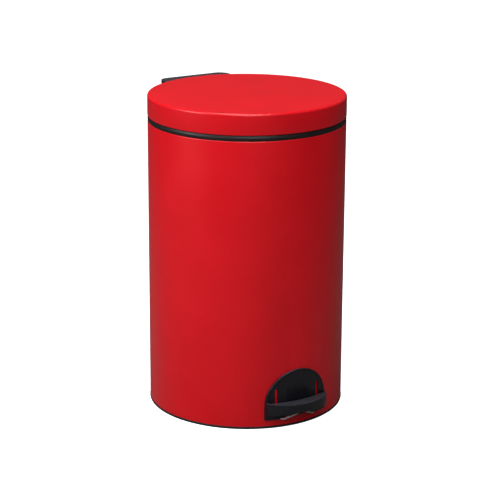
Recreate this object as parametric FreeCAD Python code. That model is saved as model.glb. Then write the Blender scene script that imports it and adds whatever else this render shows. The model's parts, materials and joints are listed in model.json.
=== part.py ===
import FreeCAD
import Part
import math
import os

# Round pedal bin with a hinged lid, a lift-out bucket and a foot pedal that opens the lid through
# a lever and a lift rod. Millimetres, +Z up, origin on the floor at the centre of the round body.
# The pedal faces -Y and the lid's hinge is at +Y.

# ---- Driving dimensions ----
BODY_R = 125.0            # outside of the steel shell
SHEET = 0.8               # sheet thickness of the shell
SHELL_LOW = 3.2           # underside of the shell, on top of the floor ring
SHELL_TOP = 368.5
LID_R = 125.2
LID_LOW = 375.8
LID_TOP = 402.8
LID_SHEET = 1.0
LID_CORNER = 3.0          # radius between the lid's top and its skirt

HINGE_Y = 132.0           # lid hinge axis, along X
HINGE_Z = 384.0
PIN_R = 2.5
RUNNING_GAP = 0.06        # radial gap of a turning fit
CRANK_R = 15.0            # hinge axis to the crank's eye
CRANK_ANGLE = 42.5        # the crank swings this far below and above the hinge axis
ROD_R = 2.0
ROD_Y = 119.0

PIVOT_Y = -38.0           # pedal lever axis, along X
PIVOT_Z = 24.0

PEDAL_FRONT = -147.0
PEDAL_CURVE_R = 55.0
PEDAL_HALF = 43.5
PEDAL_TOP = 35.4
PEDAL_CORNER_R = 8.0

BEZEL_HALF = 44.0
BEZEL_LOW = 12.0
BEZEL_SPRING_Z = 31.0     # where the bezel's straight sides turn into its arch
BEZEL_OUT_R = 127.2
BEZEL_RIM_R = 128.0

BUCKET_RIM_R = 109.8
BUCKET_RIM_Z = 375.3
BUCKET_FLOOR = 46.0
LEDGE_Z = 373.0           # the rim ledge that the bucket hangs on

# ---- Worked out from the driving dimensions ----
CRANK_DROP = CRANK_R * math.sin(math.radians(CRANK_ANGLE))
CRANK_BACK = CRANK_R * math.cos(math.radians(CRANK_ANGLE))
EYE_Y = HINGE_Y - CRANK_BACK
EYE_Z = HINGE_Z - CRANK_DROP
LEVER_EYE_Z = PIVOT_Z - CRANK_DROP
SHELL_IN = BODY_R - SHEET
TOP = 500.0               # well above everything, for cuts
FAR = 200.0               # well outside everything, for cuts


def vec(x, y, z):
    return FreeCAD.Vector(x, y, z)


def block(x0, x1, y0, y1, z0, z1):
    return Part.makeBox(x1 - x0, y1 - y0, z1 - z0, vec(x0, y0, z0))


def disc(radius, z0, z1, x=0.0, y=0.0):
    return Part.makeCylinder(radius, z1 - z0, vec(x, y, z0))


def tube(inner, outer, z0, z1):
    return disc(outer, z0, z1).cut(disc(inner, z0 - 1, z1 + 1))


def rod_x(x0, x1, y, z, radius):
    return Part.makeCylinder(radius, x1 - x0, vec(x0, y, z), vec(1, 0, 0))


def spun(outline):
    """A solid of revolution about Z from (radius, z) corners."""
    points = [vec(r, 0, z) for r, z in outline]
    wire = Part.makePolygon(points + points[:1])
    return Part.Face(wire).revolve(vec(0, 0, 0), vec(0, 0, 1), 360)


def side_plate(outline, x0, x1):
    """A flat plate from (y, z) corners, between two places along X."""
    points = [vec(x0, y, z) for y, z in outline]
    wire = Part.makePolygon(points + points[:1])
    return Part.Face(wire).extrude(vec(x1 - x0, 0, 0))


def joined(shapes):
    result = shapes[0]
    for shape in shapes[1:]:
        result = result.fuse(shape)
    return result.removeSplitter()


def group(shapes):
    """Several separate solids in one node."""
    return Part.makeCompound(shapes)


def mirrored(shape):
    return shape.mirror(vec(0, 0, 0), vec(1, 0, 0))


def turned(shape, angle):
    """A copy turned about the body's own axis."""
    copy = shape.copy()
    copy.rotate(vec(0, 0, 0), vec(0, 0, 1), angle)
    return copy


def radial_rod(radius, r0, r1, z, angle):
    """A round pin pointing out from the body's axis; angle 0 is the rear, +Y."""
    pin = Part.makeCylinder(radius, r1 - r0, vec(0, r0, z), vec(0, 1, 0))
    return turned(pin, angle)


def ball(x, y, z, radius):
    return Part.makeSphere(radius, vec(x, y, z))


def wire_run(points, radius):
    """Round wire through points, with a ball at each corner."""
    pieces = []
    for start, end in zip(points, points[1:]):
        a, b = vec(*start), vec(*end)
        pieces.append(Part.makeCylinder(radius, (b - a).Length, a, b - a))
    for corner in points[1:-1]:
        pieces.append(ball(*corner, radius))
    return joined(pieces)


# ---- The can: shell, rim, base ----
NOTCH_HALF = 12.0         # half width of the rear notch that the lid's crank swings in
NOTCH_LOW = 364.0
NOTCH_IN = 113.0
WINDOW_HALF = 11.0        # the opening that the pedal lever comes out of
WINDOW_LOW = 12.6
WINDOW_TOP = 31.0
HEM_DEPTH = 6.0           # how far the shell's top edge is folded back inside
RIVET_ANGLE = 9.0         # the bracket's rivets, either side of the rear centre line
RIVET_ROWS = (332.0, 345.0)
RIVET_HOLE_R = 2.0
SMALL_HOLE_R = 1.6        # for the small rivets and screws


def crank_notch():
    return block(-NOTCH_HALF, NOTCH_HALF, NOTCH_IN, FAR, NOTCH_LOW, TOP)


def rivet_places():
    return [(angle, z) for angle in (-RIVET_ANGLE, RIVET_ANGLE) for z in RIVET_ROWS]


def outer_shell():
    wall = spun([
        (SHELL_IN, SHELL_LOW), (BODY_R, SHELL_LOW),
        (BODY_R, SHELL_TOP - 0.7), (BODY_R - 0.2, SHELL_TOP - 0.2), (BODY_R - 0.7, SHELL_TOP),
        (BODY_R - 1.3, SHELL_TOP - 0.1), (BODY_R - 1.7, SHELL_TOP - 0.6),
        (BODY_R - 1.7, SHELL_TOP - HEM_DEPTH), (SHELL_IN, SHELL_TOP - HEM_DEPTH - 0.5),
    ])
    wall = wall.cut(crank_notch())
    wall = wall.cut(block(-WINDOW_HALF, WINDOW_HALF, -FAR, -100, WINDOW_LOW, WINDOW_TOP))
    for angle, z in rivet_places():
        wall = wall.cut(radial_rod(RIVET_HOLE_R, 110, FAR, z, angle))
    wall = wall.cut(radial_rod(SMALL_HOLE_R, 110, FAR, GUIDE_Z, 0))
    for side in (-1, 1):
        angle = 180 + side * BEZEL_SCREW_ANGLE
        wall = wall.cut(radial_rod(SMALL_HOLE_R, 110, FAR, BEZEL_SCREW_Z, angle))
    return wall


RIM_LEG_IN = 121.6         # the rim's leg inside the shell
RIM_LEG_OUT = 123.2
RIM_LOW = 352.0
RIM_TOP = 375.4
COLLAR_IN = 116.0
COLLAR_OUT = 118.5
COLLAR_TOP = 381.0
LEDGE_IN = 109.2
LEDGE_THICK = 3.0


def top_rim():
    ring = spun([
        (RIM_LEG_IN, RIM_LOW), (RIM_LEG_OUT, RIM_LOW), (RIM_LEG_OUT, SHELL_TOP + 0.1),
        (BODY_R - 0.5, SHELL_TOP + 0.1), (BODY_R - 0.2, SHELL_TOP + 1.6),
        (BODY_R, SHELL_TOP + 3.4), (BODY_R - 0.1, SHELL_TOP + 5.2),
        (BODY_R - 0.6, SHELL_TOP + 6.4), (BODY_R - 1.6, RIM_TOP),
        (COLLAR_OUT, RIM_TOP), (COLLAR_OUT, COLLAR_TOP), (COLLAR_IN, COLLAR_TOP),
        (COLLAR_IN, LEDGE_Z), (LEDGE_IN, LEDGE_Z), (LEDGE_IN, LEDGE_Z - LEDGE_THICK),
        (RIM_LEG_IN, LEDGE_Z - LEDGE_THICK),
    ])
    return ring.cut(crank_notch())


PAN_FLOOR = 5.6           # upper face of the base pan
PAN_WALL_OUT = 124.1
PAN_WALL_IN = 121.7
PAN_WALL_TOP = 26.0
PAN_GAP_HALF = 13.0       # gaps in the pan's wall for the pedal lever and the lift rod
RIB_ANGLES = (35, 62, 90, 118, 145, 215, 242, 270, 298, 325)
RIB_HEIGHT = 6.0
RIB_RING_R = 66.0         # low ring on the pan's floor that the ribs start from


def base_pan():
    pan = spun([
        (0, SHELL_LOW), (PAN_WALL_OUT, SHELL_LOW), (PAN_WALL_OUT, PAN_WALL_TOP),
        (PAN_WALL_IN, PAN_WALL_TOP), (PAN_WALL_IN, PAN_FLOOR), (0, PAN_FLOOR),
    ])
    ribs = []
    for angle in RIB_ANGLES:
        rib = block(-1, 1, RIB_RING_R, PAN_WALL_IN + 0.5, PAN_FLOOR - 0.5, PAN_FLOOR + RIB_HEIGHT)
        ribs.append(turned(rib, angle))
    pan = joined([pan, tube(RIB_RING_R, RIB_RING_R + 2, PAN_FLOOR - 0.5, PAN_FLOOR + 2)] + ribs)
    pan = pan.cut(block(-PAN_GAP_HALF, PAN_GAP_HALF, -FAR, -100, 12.0, TOP))
    pan = pan.cut(block(-PAN_GAP_HALF, PAN_GAP_HALF, 100, FAR, PAN_FLOOR + 0.4, TOP))
    for x, y in foot_rivet_places():
        pan = pan.cut(disc(SMALL_HOLE_R, 0, TOP, x, y))
    return pan


FLOOR_RING_IN = 112.0
FLOOR_RING_R = 125.4


def floor_ring():
    return spun([
        (FLOOR_RING_IN, 0.4), (FLOOR_RING_IN + 0.4, 0), (FLOOR_RING_R - 0.8, 0),
        (FLOOR_RING_R - 0.2, 0.4), (FLOOR_RING_R, 1.0), (FLOOR_RING_R, SHELL_LOW - 0.6),
        (FLOOR_RING_R - 0.4, SHELL_LOW), (FLOOR_RING_IN, SHELL_LOW),
    ])


# ---- Pedal bezel on the front of the shell ----
BEZEL_SCREW_Z = 63.0
BEZEL_SCREW_ANGLE = 8.0
SLOT_X = 30.0
SLOT_HALF = 1.8
SLOT_LOW = 28.0
SLOT_TOP = 52.5
BORDER = 2.4              # width of the bezel's raised border
LEVER_GAP_X = 11.0        # half width of the bezel's opening for the lever
LEVER_GAP_TOP = 30.5
SHOULDER_Z = 16.5         # where that opening starts to spread out to the foot
FOOT_GAP_X = 27.0
SPRING_HOLE_R = 1.6


def arch_prism(inset):
    """The bezel's outline, arch on top, as a prism along Y; inset shrinks it all round."""
    half = BEZEL_HALF - inset
    low = BEZEL_LOW + inset
    start = vec(-half, -FAR, low)
    left = vec(-half, -FAR, BEZEL_SPRING_Z)
    crown = vec(0, -FAR, BEZEL_SPRING_Z + half)
    right = vec(half, -FAR, BEZEL_SPRING_Z)
    end = vec(half, -FAR, low)
    edges = [
        Part.makeLine(start, left),
        Part.Arc(left, crown, right).toShape(),
        Part.makeLine(right, end),
        Part.makeLine(end, start),
    ]
    return Part.Face(Part.Wire(edges)).extrude(vec(0, FAR - 90, 0))


def pedal_bezel():
    skin = BODY_R + 0.05
    plate = arch_prism(0).common(tube(skin, BEZEL_OUT_R, 0, 90))
    rim = arch_prism(0).cut(arch_prism(BORDER)).common(tube(skin, BEZEL_RIM_R, 0, 90))
    bezel = joined([plate, rim])
    right = [(FOOT_GAP_X, 0), (FOOT_GAP_X, BEZEL_LOW), (LEVER_GAP_X, SHOULDER_Z),
             (LEVER_GAP_X, LEVER_GAP_TOP)]
    opening = right + [(-x, z) for x, z in reversed(right)] + right[:1]
    opening = Part.Face(Part.makePolygon([vec(x, -FAR, z) for x, z in opening]))
    bezel = bezel.cut(opening.extrude(vec(0, FAR - 90, 0)))
    for x in (-SLOT_X, SLOT_X):
        bezel = bezel.cut(block(x - SLOT_HALF, x + SLOT_HALF, -FAR, -90, SLOT_LOW, SLOT_TOP))
        foot = vec(math.copysign(SPRING_FOOT_X, x), -150, SPRING_FOOT_Z)
        bezel = bezel.cut(Part.makeCylinder(SPRING_HOLE_R, 60, foot, vec(0, 1, 0)))
    for side in (-1, 1):
        bezel = bezel.cut(radial_rod(1.2, 110, BEZEL_OUT_R - 0.6, BEZEL_SCREW_Z,
                                     180 + side * BEZEL_SCREW_ANGLE))
    return bezel


def bezel_screws():
    screws = []
    for side in (-1, 1):
        angle = 180 + side * BEZEL_SCREW_ANGLE
        shank = radial_rod(1.15, 121.5, BEZEL_OUT_R - 0.7, BEZEL_SCREW_Z, angle)
        head = radial_rod(3.2, 121.4, SHELL_IN - 0.6, BEZEL_SCREW_Z, angle)
        screws.append(joined([shank, head]))
    return group(screws)


# ---- Rear bracket, hinge pin, rod guide ----
EAR_IN = 29.0
EAR_OUT = 33.0
EAR_R = 6.0
BRACKET_HALF = 36.0
BRACKET_OUT_R = 127.3
BRACKET_TOP = 374.5
BRACKET_LOW = 322.0
BRACKET_CORNER = 12.0     # radius of the plate's two lower corners


def hinge_bracket():
    plate = tube(BODY_R + 0.05, BRACKET_OUT_R, BRACKET_LOW, BRACKET_TOP)
    plate = plate.common(block(-BRACKET_HALF, BRACKET_HALF, 90, FAR, 0, TOP))
    turn_x, turn_z = BRACKET_HALF - BRACKET_CORNER, BRACKET_LOW + BRACKET_CORNER
    corner = block(turn_x, BRACKET_HALF + 1, 90, FAR, 0, turn_z)
    corner = corner.cut(Part.makeCylinder(BRACKET_CORNER, 120, vec(turn_x, 90, turn_z), vec(0, 1, 0)))
    plate = plate.cut(corner).cut(mirrored(corner))
    ear_line = [
        (120.0, 345.0), (126.5, 345.0), (HINGE_Y + EAR_R * 0.93, HINGE_Z - EAR_R * 0.36),
        (HINGE_Y, HINGE_Z), (HINGE_Y - EAR_R, HINGE_Z), (120.0, 374.0),
    ]
    ears = []
    for x in (-EAR_OUT, EAR_IN):
        ear = side_plate(ear_line, x, x + EAR_OUT - EAR_IN)
        ears.append(ear.fuse(rod_x(x, x + EAR_OUT - EAR_IN, HINGE_Y, HINGE_Z, EAR_R)))
    bracket = joined([plate] + ears)
    bracket = bracket.cut(disc(BODY_R + 0.05, 0, TOP))
    bracket = bracket.cut(disc(LID_R + 0.7, BRACKET_TOP, TOP))
    bracket = bracket.cut(crank_notch())
    bracket = bracket.cut(rod_x(-60, 60, HINGE_Y, HINGE_Z, PIN_R + 0.01))
    for angle, z in rivet_places():
        bracket = bracket.cut(radial_rod(RIVET_HOLE_R, 110, FAR, z, angle))
    return bracket


def bracket_rivets():
    rivets = []
    for angle, z in rivet_places():
        shank = radial_rod(RIVET_HOLE_R - 0.05, SHELL_IN - 1.2, BRACKET_OUT_R + 0.4, z, angle)
        head = radial_rod(3.6, BRACKET_OUT_R + 0.3, BRACKET_OUT_R + 1.5, z, angle)
        tail = radial_rod(3.0, SHELL_IN - 1.3, SHELL_IN - 0.3, z, angle)
        rivets.append(joined([shank, head, tail]))
    return group(rivets)


def hinge_pin():
    half = EAR_OUT + 3.5
    return rod_x(-half, half, HINGE_Y, HINGE_Z, PIN_R)


def ring_x(x0, x1, y, z, inner, outer):
    return rod_x(x0, x1, y, z, outer).cut(rod_x(x0 - 1, x1 + 1, y, z, inner))


def hinge_pin_clips():
    clip = ring_x(EAR_OUT + 0.2, EAR_OUT + 1.6, HINGE_Y, HINGE_Z, PIN_R + 0.01, 5.2)
    return group([clip, mirrored(clip)])


GUIDE_Z = 200.0
GUIDE_HALF = 9.0
GUIDE_IN = 115.6


def rod_guide():
    guide = block(-GUIDE_HALF, GUIDE_HALF, GUIDE_IN, 130, GUIDE_Z - 6, GUIDE_Z + 6)
    guide = guide.common(disc(SHELL_IN - 0.05, 0, TOP))
    guide = guide.cut(disc(ROD_R + 0.08, 0, TOP, 0, ROD_Y))
    guide = guide.cut(radial_rod(1.55, 121.6, FAR, GUIDE_Z, 0))
    return guide


def guide_rivet():
    shank = radial_rod(1.5, 121.7, BODY_R + 0.3, GUIDE_Z, 0)
    head = radial_rod(3.4, BODY_R + 0.05, BODY_R + 1.3, GUIDE_Z, 0)
    return joined([shank, head])


# ---- Pedal mechanism in the base ----
FOOT_RIVET_X = 15.0
FOOT_RIVET_Y = 12.0       # either side of the lever's axis
PIVOT_EAR_IN = 9.0
PIVOT_SHEET = 1.5
PIVOT_EAR_OUT = PIVOT_EAR_IN + PIVOT_SHEET
PIVOT_EAR_R = 6.0
SPRING_FOOT_X = 27.0
SPRING_FOOT_Z = 14.6
SPRING_WIRE_R = 1.1


def foot_rivet_places():
    return [(x, PIVOT_Y + y) for x in (-FOOT_RIVET_X, FOOT_RIVET_X) for y in (-FOOT_RIVET_Y, FOOT_RIVET_Y)]


def pivot_bracket():
    foot_top = PAN_FLOOR + PIVOT_SHEET
    foot = block(-20, 20, PIVOT_Y - 17, PIVOT_Y + 17, PAN_FLOOR, foot_top)
    ear_line = [
        (PIVOT_Y - 12, PAN_FLOOR + 0.1), (PIVOT_Y + 12, PAN_FLOOR + 0.1),
        (PIVOT_Y + PIVOT_EAR_R, PIVOT_Z), (PIVOT_Y - PIVOT_EAR_R, PIVOT_Z),
    ]
    pieces = [foot]
    for x in (-PIVOT_EAR_OUT, PIVOT_EAR_IN):
        pieces.append(side_plate(ear_line, x, x + PIVOT_SHEET))
        pieces.append(rod_x(x, x + PIVOT_SHEET, PIVOT_Y, PIVOT_Z, PIVOT_EAR_R))
    bracket = joined(pieces)
    bracket = bracket.cut(rod_x(-30, 30, PIVOT_Y, PIVOT_Z, PIN_R + 0.01))
    for x, y in foot_rivet_places():
        bracket = bracket.cut(disc(SMALL_HOLE_R, 0, foot_top + 1, x, y))
    return bracket


def pivot_rivets():
    rivets = []
    foot_top = PAN_FLOOR + PIVOT_SHEET
    for x, y in foot_rivet_places():
        shank = disc(SMALL_HOLE_R - 0.05, SHELL_LOW - 0.8, foot_top + 0.3, x, y)
        tail = disc(2.8, SHELL_LOW - 0.9, SHELL_LOW - 0.05, x, y)
        head = disc(2.8, foot_top + 0.05, foot_top + 1.1, x, y)
        rivets.append(joined([shank, tail, head]))
    return group(rivets)


def pivot_pin():
    half = PIVOT_EAR_OUT + 3.0
    return rod_x(-half, half, PIVOT_Y, PIVOT_Z, PIN_R)


def pivot_pin_clips():
    clip = ring_x(PIVOT_EAR_OUT + 0.2, PIVOT_EAR_OUT + 1.4, PIVOT_Y, PIVOT_Z, PIN_R + 0.01, 5.0)
    return group([clip, mirrored(clip)])


STOP_Y = -100.0
STOP_TOP = 14.8


def lever_stop():
    return joined([
        disc(7.0, PAN_FLOOR, STOP_TOP - 2, 0, STOP_Y),
        disc(5.5, STOP_TOP - 2.1, STOP_TOP, 0, STOP_Y),
    ])


def pedal_spring():
    half = [
        (-SPRING_FOOT_X, -123.6, SPRING_FOOT_Z), (-SPRING_FOOT_X, -127.2, SPRING_FOOT_Z - 0.8),
        (-4.5, -133.6, 20.6), (0, -134.2, 21.4),
    ]
    points = half + [(-x, y, z) for x, y, z in reversed(half[:-1])]
    return wire_run(points, SPRING_WIRE_R)


# ---- Pedal body ----
LEVER_HALF = 8.0
LEVER_SHEET = 1.5
ARM_TOP = 28.0            # the lever's front arm, inside the pedal
ARM_LOW = 24.6
ARM_FRONT = -140.0
BACK_TOP = 30.4           # top of the lever over its pivot
EYE_HALF = 4.6            # half height of the lever's rear eye


def lever_outline(drop):
    """Side view of the lever, (y, z); drop lowers the top edge to leave the web's thickness."""
    return [
        (ARM_FRONT, ARM_LOW), (-64, ARM_LOW - 0.6), (-46, 17.6), (-31, 17.6), (108, 9.6),
        (ROD_Y - 1, LEVER_EYE_Z - EYE_HALF), (ROD_Y + 3.2, LEVER_EYE_Z - 3.0),
        (ROD_Y + 4.2, LEVER_EYE_Z), (ROD_Y + 3.2, LEVER_EYE_Z + 3.0),
        (ROD_Y - 1, LEVER_EYE_Z + EYE_HALF), (100, 20.4 - drop),
        (-26, BACK_TOP - drop), (-50, BACK_TOP - drop),
        (-66, ARM_TOP - drop), (ARM_FRONT, ARM_TOP - drop),
    ]


def pedal_lever():
    body = side_plate(lever_outline(0), -LEVER_HALF, LEVER_HALF)
    inner = LEVER_HALF - LEVER_SHEET
    low = side_plate(lever_outline(LEVER_SHEET), -inner, inner)
    sink = low.copy()
    sink.translate(vec(0, 0, -3.0))
    channel = body.cut(low).cut(sink)
    channel = channel.cut(block(-inner, inner, 106.0, 130.0, 0, 40))
    channel = channel.cut(block(-inner, inner, -66, -24, 10, BACK_TOP - LEVER_SHEET))
    channel = channel.cut(rod_x(-30, 30, PIVOT_Y, PIVOT_Z, PIN_R + RUNNING_GAP))
    channel = channel.cut(rod_x(-30, 30, ROD_Y, LEVER_EYE_Z, ROD_R + 0.6))
    for x in (-PEDAL_SCREW_X, PEDAL_SCREW_X):
        channel = channel.cut(disc(1.3, ARM_TOP - 3, ARM_TOP + 3, x, PEDAL_SCREW_Y))
    return channel


PEDAL_SCREW_X = 3.6
PEDAL_SCREW_Y = -133.2
PEDAL_END_LOW = 19.6      # underside of the pedal's ends
PEDAL_MID_LOW = 24.4      # underside of its middle, arched up
PEDAL_LIP = 1.8           # the raised lip round the pedal's top
PEDAL_RECESS = 1.0
PEDAL_WALL = 2.4
SOCKET_FRONT = -132.5     # front end of the lever's slot under the pedal


def pedal_plan(inset):
    """Plan of the pedal's front and ends; the back is cut later. Inset shrinks it all round."""
    centre_y = PEDAL_FRONT + PEDAL_CURVE_R
    big = PEDAL_CURVE_R - inset
    half = PEDAL_HALF - inset
    small = PEDAL_CORNER_R - inset
    corner_x = half - small
    reach = big - small
    corner_y = centre_y - math.sqrt(reach ** 2 - corner_x ** 2)
    touch = (corner_x * big / reach, centre_y - (centre_y - corner_y) * big / reach)
    bend = math.radians(0.5 * (math.degrees(math.atan2(centre_y - corner_y, corner_x))))
    mid = (corner_x + small * math.cos(bend), corner_y - small * math.sin(bend))
    back = -100.0
    edges = [
        Part.makeLine(vec(-half, back, 0), vec(-half, corner_y, 0)),
        Part.Arc(vec(-half, corner_y, 0), vec(-mid[0], mid[1], 0), vec(-touch[0], touch[1], 0)).toShape(),
        Part.Arc(vec(-touch[0], touch[1], 0), vec(0, centre_y - big, 0),
                 vec(touch[0], touch[1], 0)).toShape(),
        Part.Arc(vec(touch[0], touch[1], 0), vec(mid[0], mid[1], 0), vec(half, corner_y, 0)).toShape(),
        Part.makeLine(vec(half, corner_y, 0), vec(half, back, 0)),
        Part.makeLine(vec(half, back, 0), vec(-half, back, 0)),
    ]
    return Part.Face(Part.Wire(edges))


def pedal_block(inset, z0, z1):
    face = pedal_plan(inset)
    face.translate(vec(0, 0, z0))
    return face.extrude(vec(0, 0, z1 - z0))


def pedal_back(gap):
    """The space behind the pedal: a cone about the body's axis, wider towards its underside."""
    top_r, low_r = 128.4 + gap, 131.2 + gap
    return Part.makeCone(low_r, top_r, 20.0, vec(0, 0, 17.0))


def pedal_pad():
    shell = pedal_block(0, PEDAL_END_LOW, PEDAL_TOP)
    shell = shell.cut(pedal_block(PEDAL_LIP, PEDAL_TOP - PEDAL_RECESS, TOP))
    hollow = pedal_block(PEDAL_WALL, 0, ARM_TOP + 0.1).cut(pedal_back(1.6))
    shell = shell.cut(hollow)
    shell = shell.cut(pedal_back(0))
    rise = PEDAL_MID_LOW - PEDAL_END_LOW
    arch_r = (PEDAL_HALF ** 2 + rise ** 2) / (2 * rise)
    arch = Part.makeCylinder(arch_r, 80, vec(0, -160, PEDAL_MID_LOW - arch_r), vec(0, 1, 0))
    shell = shell.cut(arch)
    slot_half = LEVER_HALF + 0.3
    shell = shell.cut(block(-slot_half, slot_half, SOCKET_FRONT, -100, 0, ARM_TOP + 0.05))
    for x in (-PEDAL_SCREW_X, PEDAL_SCREW_X):
        shell = shell.cut(disc(1.25, ARM_TOP - 5, ARM_TOP + 2.6, x, PEDAL_SCREW_Y))
    return shell


def pedal_screws():
    screws = []
    for x in (-PEDAL_SCREW_X, PEDAL_SCREW_X):
        shank = disc(1.2, ARM_TOP - LEVER_SHEET - 0.2, ARM_TOP + 2.4, x, PEDAL_SCREW_Y)
        head = disc(2.4, ARM_TOP - LEVER_SHEET - 1.4, ARM_TOP - LEVER_SHEET - 0.02, x, PEDAL_SCREW_Y)
        screws.append(joined([shank, head]))
    return group(screws)


# ---- Lift rod ----
HOOK_BEND = 3.0


def lift_rod():
    low_z = LEVER_EYE_Z
    shaft = disc(ROD_R, low_z + HOOK_BEND, EYE_Z - HOOK_BEND, 0, ROD_Y)
    low_bend = Part.makeTorus(HOOK_BEND, ROD_R, vec(HOOK_BEND, ROD_Y, low_z + HOOK_BEND), vec(0, 1, 0))
    corner = block(-FAR, HOOK_BEND, ROD_Y - 9, ROD_Y + 9, low_z - 20, low_z + HOOK_BEND)
    low_bend = low_bend.common(corner)
    high_bend = Part.makeTorus(HOOK_BEND, ROD_R, vec(HOOK_BEND, ROD_Y, EYE_Z - HOOK_BEND), vec(0, 1, 0))
    corner = block(-FAR, HOOK_BEND, ROD_Y - 9, ROD_Y + 9, EYE_Z - HOOK_BEND, EYE_Z + 20)
    high_bend = high_bend.common(corner)
    return joined([
        shaft, low_bend, high_bend,
        rod_x(HOOK_BEND, 11.0, ROD_Y, low_z, ROD_R),
        rod_x(HOOK_BEND, 10.0, ROD_Y, EYE_Z, ROD_R),
    ])


def rod_clips():
    low = ring_x(LEVER_HALF + 0.4, LEVER_HALF + 1.6, ROD_Y, LEVER_EYE_Z, ROD_R + 0.01, 4.0)
    high = ring_x(CRANK_OUT + 0.6, CRANK_OUT + 1.8, ROD_Y, EYE_Z, ROD_R + 0.01, 4.2)
    return group([low, high])


# ---- Lid ----
CRANK_IN = 3.0
CRANK_OUT = 7.0


def corner_points(radius, r_out, z_top, steps=5):
    """A quarter-round from the skirt to the top, as (radius, z) corners."""
    points = []
    for step in range(steps + 1):
        turn = math.radians(90.0 * step / steps)
        points.append((r_out - radius + radius * math.cos(turn), z_top - radius + radius * math.sin(turn)))
    return points


LID_DOME = 0.5            # how much higher the lid's middle is than its edge
LID_NOTCH_TOP = 386.0
ARM_RIVET_ANGLES = (-9.5, -6.0, 6.0, 9.5)
ARM_RIVET_Z = 390.5


def lid_shell():
    outside = corner_points(LID_CORNER, LID_R, LID_TOP - LID_DOME)
    inside = corner_points(LID_CORNER - LID_SHEET, LID_R - LID_SHEET, LID_TOP - LID_DOME - LID_SHEET)
    hem = [
        (LID_R - 1.0, LID_LOW), (LID_R - 0.2, LID_LOW + 0.4), (LID_R, LID_LOW + 1.0),
    ]
    hem_inside = [(LID_R - 1.8, LID_LOW + 2.4), (LID_R - 1.9, LID_LOW + 0.5)]
    outline = hem + outside + [(0, LID_TOP), (0, LID_TOP - LID_SHEET)]
    outline += list(reversed(inside)) + [(LID_R - LID_SHEET, LID_LOW + 2.8)] + hem_inside
    shell = spun(outline)
    half = NOTCH_HALF + 0.5
    shell = shell.cut(block(-half, half, 100, FAR, 0, LID_NOTCH_TOP))
    for angle in ARM_RIVET_ANGLES:
        shell = shell.cut(radial_rod(SMALL_HOLE_R, 110, FAR, ARM_RIVET_Z, angle))
    return shell


SKIRT_IN = 117.0          # the ring's skirt, which stands over the rim's collar
SKIRT_OUT = 119.6
SKIRT_LOW = 384.0
FLANGE_IN = 112.0         # the ring's flange, which is bonded under the lid's top
FLANGE_OUT = 122.4
FLANGE_LOW = 399.2
FLANGE_TOP = 401.2
BUMPER_ANGLES = (70.0, 140.0, 220.0, 290.0)
BUMPER_HALF = 10.0


def lid_inner_ring():
    return spun([
        (SKIRT_IN, SKIRT_LOW), (SKIRT_OUT, SKIRT_LOW), (SKIRT_OUT, FLANGE_LOW),
        (FLANGE_OUT, FLANGE_LOW), (FLANGE_OUT, FLANGE_TOP), (FLANGE_IN, FLANGE_TOP),
        (FLANGE_IN, FLANGE_LOW), (SKIRT_IN, FLANGE_LOW),
    ])


def lid_bumpers():
    pads = []
    for angle in BUMPER_ANGLES:
        pad = tube(SKIRT_IN + 0.2, SKIRT_OUT - 0.4, COLLAR_TOP + 0.3, SKIRT_LOW)
        pads.append(turned(pad.common(block(-BUMPER_HALF, BUMPER_HALF, 90, FAR, 0, TOP)), angle))
    return group(pads)


KNUCKLE_HALF = 28.5
KNUCKLE_R = 5.5
ARM_HALF = 28.0
ARM_REAR = 137.0
CRANK_HALF = 4.6          # half width of the crank's blade
EYE_OUT_R = 6.2
EYE_HOLE_R = 4.3          # wider than the rod, which swings a little inside it


def lid_hinge_arm():
    saddle = block(-ARM_HALF, ARM_HALF, 112, ARM_REAR, 386.5, 396.0).cut(disc(LID_R + 0.05, 0, TOP))
    cheek = block(-ARM_HALF, ARM_HALF, 112, HINGE_Y, 383.0, 388.0).cut(disc(LID_R + 0.05, 0, TOP))
    knuckle = rod_x(-KNUCKLE_HALF, KNUCKLE_HALF, HINGE_Y, HINGE_Z, KNUCKLE_R)
    reach_y, reach_z = -CRANK_BACK, -CRANK_DROP
    side_y, side_z = CRANK_HALF * -CRANK_DROP / CRANK_R, CRANK_HALF * CRANK_BACK / CRANK_R
    crank_line = [
        (HINGE_Y + side_y, HINGE_Z + side_z), (HINGE_Y - side_y, HINGE_Z - side_z),
        (HINGE_Y + reach_y - side_y, HINGE_Z + reach_z - side_z),
        (HINGE_Y + reach_y + side_y, HINGE_Z + reach_z + side_z),
    ]
    crank = side_plate(crank_line, CRANK_IN, CRANK_OUT)
    crank = crank.fuse(rod_x(CRANK_IN, CRANK_OUT, EYE_Y, EYE_Z, EYE_OUT_R))
    arm = joined([saddle, cheek, knuckle, crank])
    arm = arm.cut(rod_x(-60, 60, HINGE_Y, HINGE_Z, PIN_R + RUNNING_GAP))
    arm = arm.cut(rod_x(0, 60, EYE_Y, EYE_Z, EYE_HOLE_R))
    for angle in ARM_RIVET_ANGLES:
        arm = arm.cut(radial_rod(SMALL_HOLE_R, 110, ARM_REAR - 4, ARM_RIVET_Z, angle))
    for x in (-COVER_SCREW_X, COVER_SCREW_X):
        place = vec(x, ARM_REAR - 6, COVER_SCREW_Z)
        arm = arm.cut(Part.makeCylinder(SMALL_HOLE_R, 30, place, vec(0, 1, 0)))
    return arm


def lid_arm_rivets():
    rivets = []
    for angle in ARM_RIVET_ANGLES:
        shank = radial_rod(SMALL_HOLE_R - 0.05, LID_R - 1.6, 131.0, ARM_RIVET_Z, angle)
        head = radial_rod(2.8, LID_R - LID_SHEET - 1.2, LID_R - LID_SHEET - 0.3, ARM_RIVET_Z, angle)
        rivets.append(joined([shank, head]))
    return group(rivets)


COVER_TOP = 400.0
COVER_LOW = 388.0
COVER_REAR = 143.0
COVER_REAR_HALF = 36.0
COVER_HALF = 50.0
COVER_WALL = 2.0
COVER_SCREW_X = 20.0
COVER_SCREW_Z = 392.5


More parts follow.
